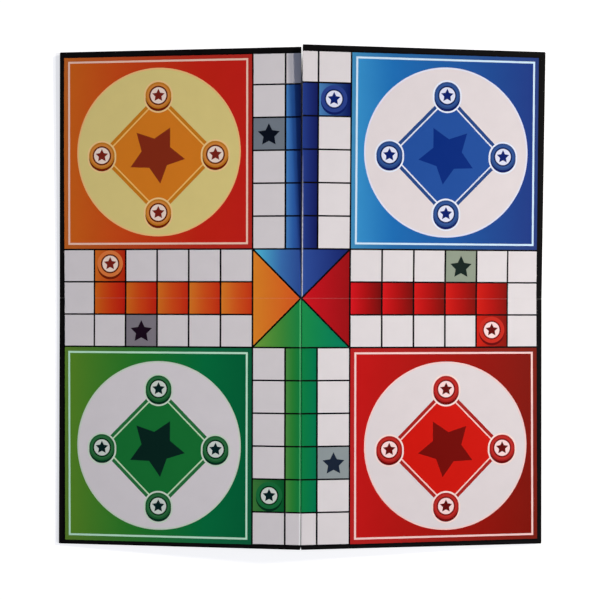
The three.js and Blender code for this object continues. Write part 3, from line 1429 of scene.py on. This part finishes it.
@dataclass(frozen=True)
class CardFinish:
    """Raw greyboard, pressed in layers.

    Attributes:
        dark: darkest tone.
        light: lightest tone.
        covered: tone of the front under the turned-in paper, which overlaps at the corners.
        covered_span: how far up a face looks where that tone starts and where it is full.
        tuck: how far from the middle, across and along the board, paper starts to cover its cut edges.
        layers: how many times finer the grain is through the card than along it.
        fibre_scale: fibres to the metre.
        grain_scale: grains to the metre.
        roughness: its roughness.
        specular: strength of its gloss.
        relief: height of the fibres in metres.
        relief_share: how much of them shows.
    """

    dark: Srgb = (178, 172, 162)
    light: Srgb = (214, 208, 198)
    covered: Srgb = (11, 10, 11)
    covered_span: Span = (0.6, 0.9)
    tuck: Span = (0.1918, 0.1944)
    layers: float = 6.0
    fibre_scale: float = 2100.0
    grain_scale: float = 700.0
    roughness: float = 0.9
    specular: float = 0.2
    relief: float = 0.00008
    relief_share: float = 0.6

    def material(self, effects: SharedEffects) -> bpy.types.Material:
        """Builds the finish.

        Args:
            effects: shared node groups.

        Returns:
            The material.
        """
        material, bench = new_material("grey_card")
        coordinates = bench.add("ShaderNodeTexCoord").outputs
        place = bench.add("ShaderNodeMapping", {
            "Vector": coordinates["Object"], "Scale": (1.0, 1.0, self.layers),
        }).outputs[0]
        tooth = bench.add("ShaderNodeGroup", {
            "Place": place, "Fibre Scale": self.fibre_scale, "Mottle Scale": self.grain_scale,
        }, node_tree=effects.tooth)
        share = bench.spread(tooth.outputs["Mottle"], TONE_SPAN)
        grain = bench.mix(share, linear(self.dark), linear(self.light))
        facing = bench.add("ShaderNodeSeparateXYZ", {0: coordinates["Normal"]}).outputs[2]
        is_covered = bench.spread(facing, self.covered_span)
        spot = bench.add("ShaderNodeSeparateXYZ", {0: coordinates["Object"]}).outputs
        for off, least in zip(spot, self.tuck):
            is_tucked = bench.math("GREATER_THAN", bench.math("ABSOLUTE", off), least)
            is_covered = bench.math("MAXIMUM", is_covered, is_tucked)
        bump = bench.add("ShaderNodeBump", {
            "Strength": self.relief_share, "Distance": self.relief, "Height": tooth.outputs["Height"],
        })
        shader = bench.add("ShaderNodeBsdfPrincipled", {
            "Base Color": bench.mix(is_covered, grain, linear(self.covered)), "Normal": bump.outputs[0],
            "Roughness": self.roughness, "Specular IOR Level": self.specular,
        })
        bench.add("ShaderNodeOutputMaterial", {"Surface": shader.outputs[0]})
        return material


@dataclass(frozen=True)
class Finishes:
    """Materials of the board."""

    printed: bpy.types.Material
    black: bpy.types.Material
    card: bpy.types.Material

    @classmethod
    def made(cls) -> "Finishes":
        """Builds every material once."""
        effects = SharedEffects()
        return cls(
            printed=PrintFinish().material(effects),
            black=BlackPaperFinish().material(effects),
            card=CardFinish().material(effects),
        )


def dress(piece: bpy.types.Object, material: bpy.types.Material) -> None:
    """Gives a piece one material."""
    piece.data.materials.clear()
    piece.data.materials.append(material)


class BoardFrame:
    """Where the panels of the CAD part lie at rest."""

    def __init__(self, joints: Sequence[dict[str, Any]]) -> None:
        """Takes the joints of the part."""
        self.joints = {joint["name"]: joint for joint in joints}

    def turn(self, fold: str) -> float:
        """How far a fold has turned from flat, in radians."""
        return -math.radians(self.joints[fold]["range_deg"][0])

    def side_fold(self, place: Place) -> str:
        """Name of the crease beside a panel, between its lower and its upper half."""
        return "fold_left" if place.side < 0 else "fold_right"

    def panel(self, place: Place) -> Matrix:
        """Place of a panel's printed face.

        Args:
            place: the panel.

        Returns:
            A matrix with its origin where the creases cross, x and y along the print and z out of it.
        """
        fold = self.joints[self.side_fold(place)]
        along = Vector(fold["axis"]).normalized()
        up_board = Vector(self.joints["fold_lower"]["axis"]).normalized()
        axes = Matrix((along, up_board, along.cross(up_board))).transposed().to_4x4()
        spin = Matrix.Rotation(self.turn(self.side_fold(place)), 4, "X") if place.end > 0 else Matrix()
        return Matrix.Translation(fold["pos_m"]) @ axes @ spin @ Matrix.Translation((0, 0, -FOLD_SLACK))


def node_box(node: str, matrix: Matrix) -> tuple[Vector, Vector]:
    """Measures a CAD node in a panel's own directions.

    Args:
        node: name of the node.
        matrix: place of the panel.

    Returns:
        Its lowest and its highest corner.
    """
    inverse = matrix.inverted()
    points = [inverse @ vertex.co for vertex in frame["nodes"][node].data.vertices]
    low = Vector(min(point[axis] for point in points) for axis in range(3))
    high = Vector(max(point[axis] for point in points) for axis in range(3))
    return low, high


# Where a scored strip of paper bends, as shares of half the width that bends
BEND_SHARES = (-1.0, -0.73, -0.5, -0.23, 0.0, 0.23, 0.5, 0.73, 1.0)


@dataclass(frozen=True)
class ScoredFold:
    """Bends a strip of paper round a crease, with a scored groove along its middle.

    Lengths are in metres.

    Attributes:
        panel: panel that the strip starts on.
        across: direction across the crease.
        level: height of the strip's front.
        thickness: thickness of the paper.
        pivot: height of the line that the fold turns about.
        turn: how far it has turned at rest, in radians.
        groove: height of the middle over the rest of the strip.
        half_bend: half the width that bends.
    """

    panel: Matrix
    across: Across
    level: float
    thickness: float
    pivot: float
    turn: float
    groove: float
    half_bend: float = 0.00015

    def bends(self) -> list[float]:
        """Places across the crease where the paper bends."""
        return [share * self.half_bend for share in BEND_SHARES]

    def ends(self) -> tuple[Vector, Vector]:
        """Finds where the bend lies.

        Returns:
            Its start and its end, where the creases cross.
        """
        step = Vector((0, 0, 0))
        step[self.across.value] = self.half_bend
        middle = Vector((0, 0, self.level))
        return self.panel @ (middle - step), self.panel @ (middle + step)

    def __call__(self, x: float, y: float, front: bool) -> Vector:
        """Places a spot of the strip.

        Args:
            x: its place across the board, on the flat strip.
            y: its place along the board.
            front: whether it lies on the front.

        Returns:
            Where it lies at rest.
        """
        off = x if self.across is Across.X else y
        share = min(max((off / self.half_bend + 1) / 2, 0.0), 1.0)
        eased = share * share * (3 - 2 * share)
        spin = Matrix.Rotation(self.turn * eased, 4, "YX"[self.across.value])
        height = self.level + self.groove * max(0.0, 1 - abs(off) / self.half_bend)
        arm = Vector((x, y, height - self.pivot - (0.0 if front else self.thickness)))
        return self.panel @ (spin @ arm + Vector((0, 0, self.pivot)))


@dataclass(frozen=True)
class LabelSheet:
    """Printed label of one panel.

    Attributes:
        place: the panel.
        matrix: where its printed face lies.
        fray: how far the paper of a lower label stands over the lower crease, in metres.
        flank: width of its edge that is pressed into the crease.
        dip: how deep that edge is pressed in.
        slit_wear: width, strength and length of the bare edge at the slit.
        crease_sheen_and_wear: width and strength of the paler edge at the lower crease, a painted
            highlight of its lit flank with some rubbing.
    """

    place: Place
    matrix: Matrix
    fray: float = 0.0001
    flank: float = 0.0009
    dip: float = 0.00018
    slit_wear: tuple[float, float, float] = (0.001, 0.75, 0.1)
    crease_sheen_and_wear: tuple[float, float] = (0.0014, 1.0)

    def wear_and_sheen_edges(self, window: Window) -> list[WearAndSheenEdge]:
        """Edges of this label that are rubbed.

        Args:
            window: what the label covers.

        Returns:
            The higher edge at the slit, rubbed bare, or the edge at the lower crease, whose paler ink is
            a painted highlight of its lit flank with some rubbing.
        """
        if self.place is Place.UPPER_RIGHT:
            return [WearAndSheenEdge(Across.X, window.left, *self.slit_wear)]
        if self.place is Place.LOWER_LEFT:
            # Paler ink at the lower crease: a painted highlight of its lit flank, with some rubbing.
            return [WearAndSheenEdge(Across.X, window.right, *self.crease_sheen_and_wear, rub=WearAndSheen.PALE)]
        return []

    def build(self, shapes: Sequence[Shape], finishes: Finishes) -> bpy.types.Object:
        """Makes the label, dresses it and lets it ride on its panel.

        Args:
            shapes: the print.
            finishes: materials of the board.

        Returns:
            The label.
        """
        node = f"label_{self.place.body}"
        low, high = node_box(node, self.matrix)
        fray, dip = (self.fray, self.dip) if self.place.end < 0 else (0.0, 0.0)
        left, right = (0.0, fray) if self.place.side < 0 else (fray, 0.0)
        window = Window(low.x - left, low.y, high.x + right, high.y)
        edge = window.right if self.place.side < 0 else window.left

        def placing(x: float, y: float, front: bool) -> Vector:
            """Place of a spot of the label on its panel, on the front or the back."""
            sunk = dip * max(0.0, 1 - abs(x - edge) / self.flank)
            return Vector((x, y, high.z - sunk if front else low.z))

        bends = [edge + self.place.side * self.flank] if dip > 0 else []
        sheet = PaperSheet(f"print_{self.place.body}", window, self.wear_and_sheen_edges(window), bends, Across.X)
        label = sheet.build(shapes, placing)
        label.matrix_world = self.matrix
        dress(label, finishes.printed)
        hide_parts(node)
        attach(label, self.place.body)
        return label


@dataclass(frozen=True)
class LabelHinge:
    """Strip of the printed label that bends in a side crease.

    Attributes:
        lower: panel below the crease.
        upper: panel above it; not used.
        seam: how far it reaches past its node on both sides, up to the labels, in metres.
        tab: how far it runs on over the black border, where it is black too.
        groove: height of its middle over the rest of it.
        wear: width and strength of the wear along its middle.
        midline: how far off the middle the wear starts on each side.
    """

    lower: Place
    upper: Place
    seam: float = 0.00005
    tab: float = 0.0032
    groove: float = -0.0001
    wear: tuple[float, float] = (0.0004, 0.07)
    midline: float = 1e-9

    def build(self, board: BoardFrame, shapes: Sequence[Shape], finishes: Finishes) -> bpy.types.Object:
        """Makes the strip, bent as it lies at rest, and dresses it.

        Args:
            board: where the panels lie.
            shapes: the print.
            finishes: materials of the board.

        Returns:
            The strip.
        """
        node = "label_hinge_left" if self.lower.side < 0 else "label_hinge_right"
        matrix = board.panel(self.lower)
        low, high = node_box(node, matrix)
        half = abs(low.y) + self.seam
        label_low, label_high = node_box(f"label_{self.lower.body}", matrix)
        fold = ScoredFold(
            panel=matrix, across=Across.Y, level=0.0, thickness=label_high.z - label_low.z,
            pivot=FOLD_SLACK, turn=board.turn(board.side_fold(self.lower)), groove=self.groove,
        )
        left, right = (self.tab, 0.0) if self.lower.side < 0 else (0.0, self.tab)
        window = Window(low.x - left, -half, high.x + right, half)
        worn = [WearAndSheenEdge(Across.Y, side * self.midline, *self.wear) for side in (-1, 1)]
        sheet = PaperSheet(f"print_{node}", window, worn, fold.bends(), Across.Y)
        strip = sheet.build(shapes, fold)
        dress(strip, finishes.printed)
        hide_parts(node)
        start, end = fold.ends()
        self.lower.body
        self.upper.body
        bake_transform(strip)
        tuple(start)
        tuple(end)
        return strip


@dataclass(frozen=True)
class WrapHinge:
    """Strip of the black paper that bends in the lower crease.

    Attributes:
        seam: how far it reaches past its node on both sides, up to the black paper there, in metres.
        thickness: thickness of the paper.
        groove: height of its middle over the rest of it.
    """

    seam: float = 0.00005
    thickness: float = 0.0002
    groove: float = 0.0001

    def build(self, board: BoardFrame, finishes: Finishes) -> bpy.types.Object:
        """Makes the strip, bent as it lies at rest, and dresses it.

        Args:
            board: where the panels lie.
            finishes: materials of the board.

        Returns:
            The strip.
        """
        node = "wrap_hinge_lower"
        left, right = Place.LOWER_LEFT, Place.LOWER_RIGHT
        matrix = board.panel(left)
        low, high = node_box(node, matrix)
        wrap_low, _ = node_box(f"wrap_{left.body}", matrix)
        half = abs(low.x) + self.seam
        fold = ScoredFold(
            panel=matrix, across=Across.X, level=wrap_low.z + self.thickness, thickness=self.thickness,
            pivot=wrap_low.z - FOLD_SLACK, turn=board.turn("fold_lower"), groove=self.groove,
        )
        window = Window(-half, low.y, half, high.y)
        sheet = PaperSheet(f"paper_{node}", window, (), fold.bends(), Across.X)
        strip = sheet.build([Shape(window.outline(), Ink.plain(LINE_BLACK))], fold)
        dress(strip, finishes.black)
        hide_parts(node)
        start, end = fold.ends()
        left.body
        right.body
        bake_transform(strip)
        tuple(start)
        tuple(end)
        return strip


# Panels below and above the creases across the board
SIDE_CREASES = ((Place.LOWER_LEFT, Place.UPPER_LEFT), (Place.LOWER_RIGHT, Place.UPPER_RIGHT))


@dataclass(frozen=True)
class LudoBoard:
    """The whole board.

    Attributes:
        finishes: its materials.
        pattern: its print.
    """

    finishes: Finishes
    pattern: BoardPrint

    def build(self) -> list[bpy.types.Object]:
        """Makes every printed and bending piece, and dresses the card and the black paper.

        Returns:
            All pieces of the board.
        """
        board = BoardFrame(frame["joints"])
        shapes = self.pattern.shapes()
        pieces = []
        for place in Place:
            wrap = frame["nodes"][f"wrap_{place.body}"]
            core = frame["nodes"][f"greyboard_{place.body}"]
            pieces += [LabelSheet(place, board.panel(place)).build(shapes, self.finishes), wrap, core]
            dress(wrap, self.finishes.black)
            dress(core, self.finishes.card)
        for lower, upper in SIDE_CREASES:
            pieces.append(LabelHinge(lower, upper).build(board, shapes, self.finishes))
        pieces.append(WrapHinge().build(board, self.finishes))
        return pieces


@dataclass(frozen=True)
class SoftLamp:
    """Round lamp that shines at the middle of the board.

    Attributes:
        name: its name.
        turn: direction it stands in, in degrees from the right towards the far end.
        rise: how high it stands, in degrees above the table.
        distance: how far off it stands, in metres.
        size: its width in metres.
        power: its power in watts.
        tone: its colour.
        beam: width of its beam in degrees.
    """

    name: str
    turn: float
    rise: float
    distance: float
    size: float
    power: float
    tone: tuple[float, float, float]
    beam: float = 70.0

    def add(self) -> None:
        """Adds the lamp to the scene."""
        turn, rise = math.radians(self.turn), math.radians(self.rise)
        way = Vector((math.cos(rise) * math.cos(turn), math.cos(rise) * math.sin(turn), math.sin(rise)))
        data = bpy.data.lights.new(self.name, "AREA")
        data.shape = "DISK"
        data.size = self.size
        data.energy = self.power
        data.color = self.tone
        data.spread = math.radians(self.beam)
        lamp = bpy.data.objects.new(self.name, data)
        lamp.location = way * self.distance
        lamp.rotation_euler = (-way).to_track_quat("-Z", "Y").to_euler()
        bpy.context.scene.collection.objects.link(lamp)


@dataclass(frozen=True)
class Studio:
    """Camera, lamps, surroundings and table. Lengths are in metres, angles in radians.

    Attributes:
        camera_spot: place of the camera.
        camera_turn: its turn about x, y and z.
        camera_clip: how near it starts to see.
        lens: focal length in millimetres.
        sensor: width of the sensor in millimetres.
        lamps: the lamps.
        ambient: light from all round.
        ceiling: brightness of what shows in overhead reflections.
        ceiling_span: height of a direction, 0 to 1, where the ceiling starts and where it is full.
        table_reach: half the width of the table.
        table_tone: how much light the table gives back.
        table_roughness: its roughness.
        glow: light added where the table is seen, near the board and far off, which keeps it white.
        glow_span: distances between which that light goes from near to far.
        shade_reach: how far the board shades the table from the sky.
        shade_span: share of open sky where the glow starts and where it is full.
    """

    camera_spot: tuple[float, float, float] = (-0.004324, -0.003621, 0.587)
    camera_turn: tuple[float, float, float] = (0.00397, -0.0055, 0.00218)
    camera_clip: float = 0.01
    lens: float = 43.318
    sensor: float = 36.0
    lamps: tuple[SoftLamp, ...] = (
        SoftLamp("high_lamp", -5.0, 40.0, 2.2, 0.12, 3.3, (1.0, 0.968, 0.931)),
        SoftLamp("low_lamp", 25.0, 26.5, 2.5, 0.25, 5.85, (1.0, 0.925, 0.82)),
    )
    ambient: tuple[float, float, float] = (0.158, 0.18, 0.245)
    ceiling: float = 0.15
    ceiling_span: Span = (0.3, 0.65)
    table_reach: float = 6.0
    table_tone: float = 0.7
    table_roughness: float = 0.9
    glow: Span = (0.62, 0.9)
    glow_span: Span = (0.35, 1.2)
    shade_reach: float = 0.1
    shade_span: Span = (0.38, 0.5)

    def set_up(self) -> None:
        """Sets up everything round the board."""
        bpy.context.scene.view_settings.view_transform = "Standard"
        self.add_camera()
        for lamp in self.lamps:
            lamp.add()
        self.add_surroundings()
        self.add_table()

    def add_camera(self) -> None:
        """Adds the camera that sees the board from above."""
        data = bpy.data.cameras.new("camera")
        data.lens = self.lens
        data.sensor_width = self.sensor
        data.clip_start = self.camera_clip
        camera = bpy.data.objects.new("camera", data)
        camera.location = self.camera_spot
        camera.rotation_euler = self.camera_turn
        bpy.context.scene.collection.objects.link(camera)
        bpy.context.scene.camera = camera

    @staticmethod
    def seen(bench: NodeBench) -> bpy.types.NodeSocket:
        """Finds the rays that show something to the camera.

        Args:
            bench: bench of the material or the world.

        Returns:
            An output that is 1 for rays that come straight, or by way of metal or glass.
        """
        path = bench.add("ShaderNodeLightPath").outputs
        mirrored = bench.math("MAXIMUM", path["Is Glossy Ray"], path["Is Transmission Ray"])
        return bench.math("MAXIMUM", path["Is Camera Ray"], mirrored)

    def add_surroundings(self) -> None:
        """Adds the light from all round, and the white that is seen behind the board."""
        world = bpy.data.worlds.new("surroundings")
        world.use_nodes = True
        bpy.context.scene.world = world
        bench = NodeBench(world.node_tree)
        direction = bench.add("ShaderNodeTexCoord").outputs["Generated"]
        height = bench.add("ShaderNodeSeparateXYZ", {0: direction}).outputs[2]
        white = bench.spread(height, self.ceiling_span, (1.0, self.ceiling))
        colour = bench.mix(self.seen(bench), (*self.ambient, 1.0), white)
        background = bench.add("ShaderNodeBackground", {"Color": colour, "Strength": 1.0})
        bench.add("ShaderNodeOutputWorld", {"Surface": background.outputs[0]})

    def add_table(self) -> None:
        """Adds the white table, which keeps the board's shadow."""
        reach = self.table_reach
        mesh = bpy.data.meshes.new("table")
        corners = [(*corner, 0.0) for corner in box_outline(-reach, -reach, reach, reach)]
        mesh.from_pydata(corners, [], [(0, 1, 2, 3)])
        table = bpy.data.objects.new("table", mesh)
        bpy.context.scene.collection.objects.link(table)
        material, bench = new_material("white_table")
        spot = bench.add("ShaderNodeNewGeometry").outputs["Position"]
        off = bench.add("ShaderNodeVectorMath", {0: spot}, operation="LENGTH").outputs["Value"]
        open_sky = bench.add("ShaderNodeAmbientOcclusion", {"Distance": self.shade_reach}).outputs["AO"]
        unshaded = bench.spread(open_sky, self.shade_span)
        lit = bench.math("MULTIPLY", unshaded, bench.spread(off, self.glow_span, self.glow))
        shader = bench.add("ShaderNodeBsdfPrincipled", {
            "Base Color": (self.table_tone, self.table_tone, self.table_tone, 1.0),
            "Roughness": self.table_roughness, "Specular IOR Level": 0.0,
            "Emission Color": (1.0, 1.0, 1.0, 1.0),
            "Emission Strength": bench.math("MULTIPLY", self.seen(bench), lit),
        })
        bench.add("ShaderNodeOutputMaterial", {"Surface": shader.outputs[0]})
        dress(table, material)


def main() -> None:
    """Builds the board and the studio round it, and reports each piece."""
    logging.basicConfig(level=logging.INFO, format="%(message)s")
    for piece in LudoBoard(Finishes.made(), BoardPrint()).build():
        LOG.info("%s: %d faces", piece.name, len(piece.data.polygons))
    Studio().set_up()


if __name__ == "__main__":
    main()
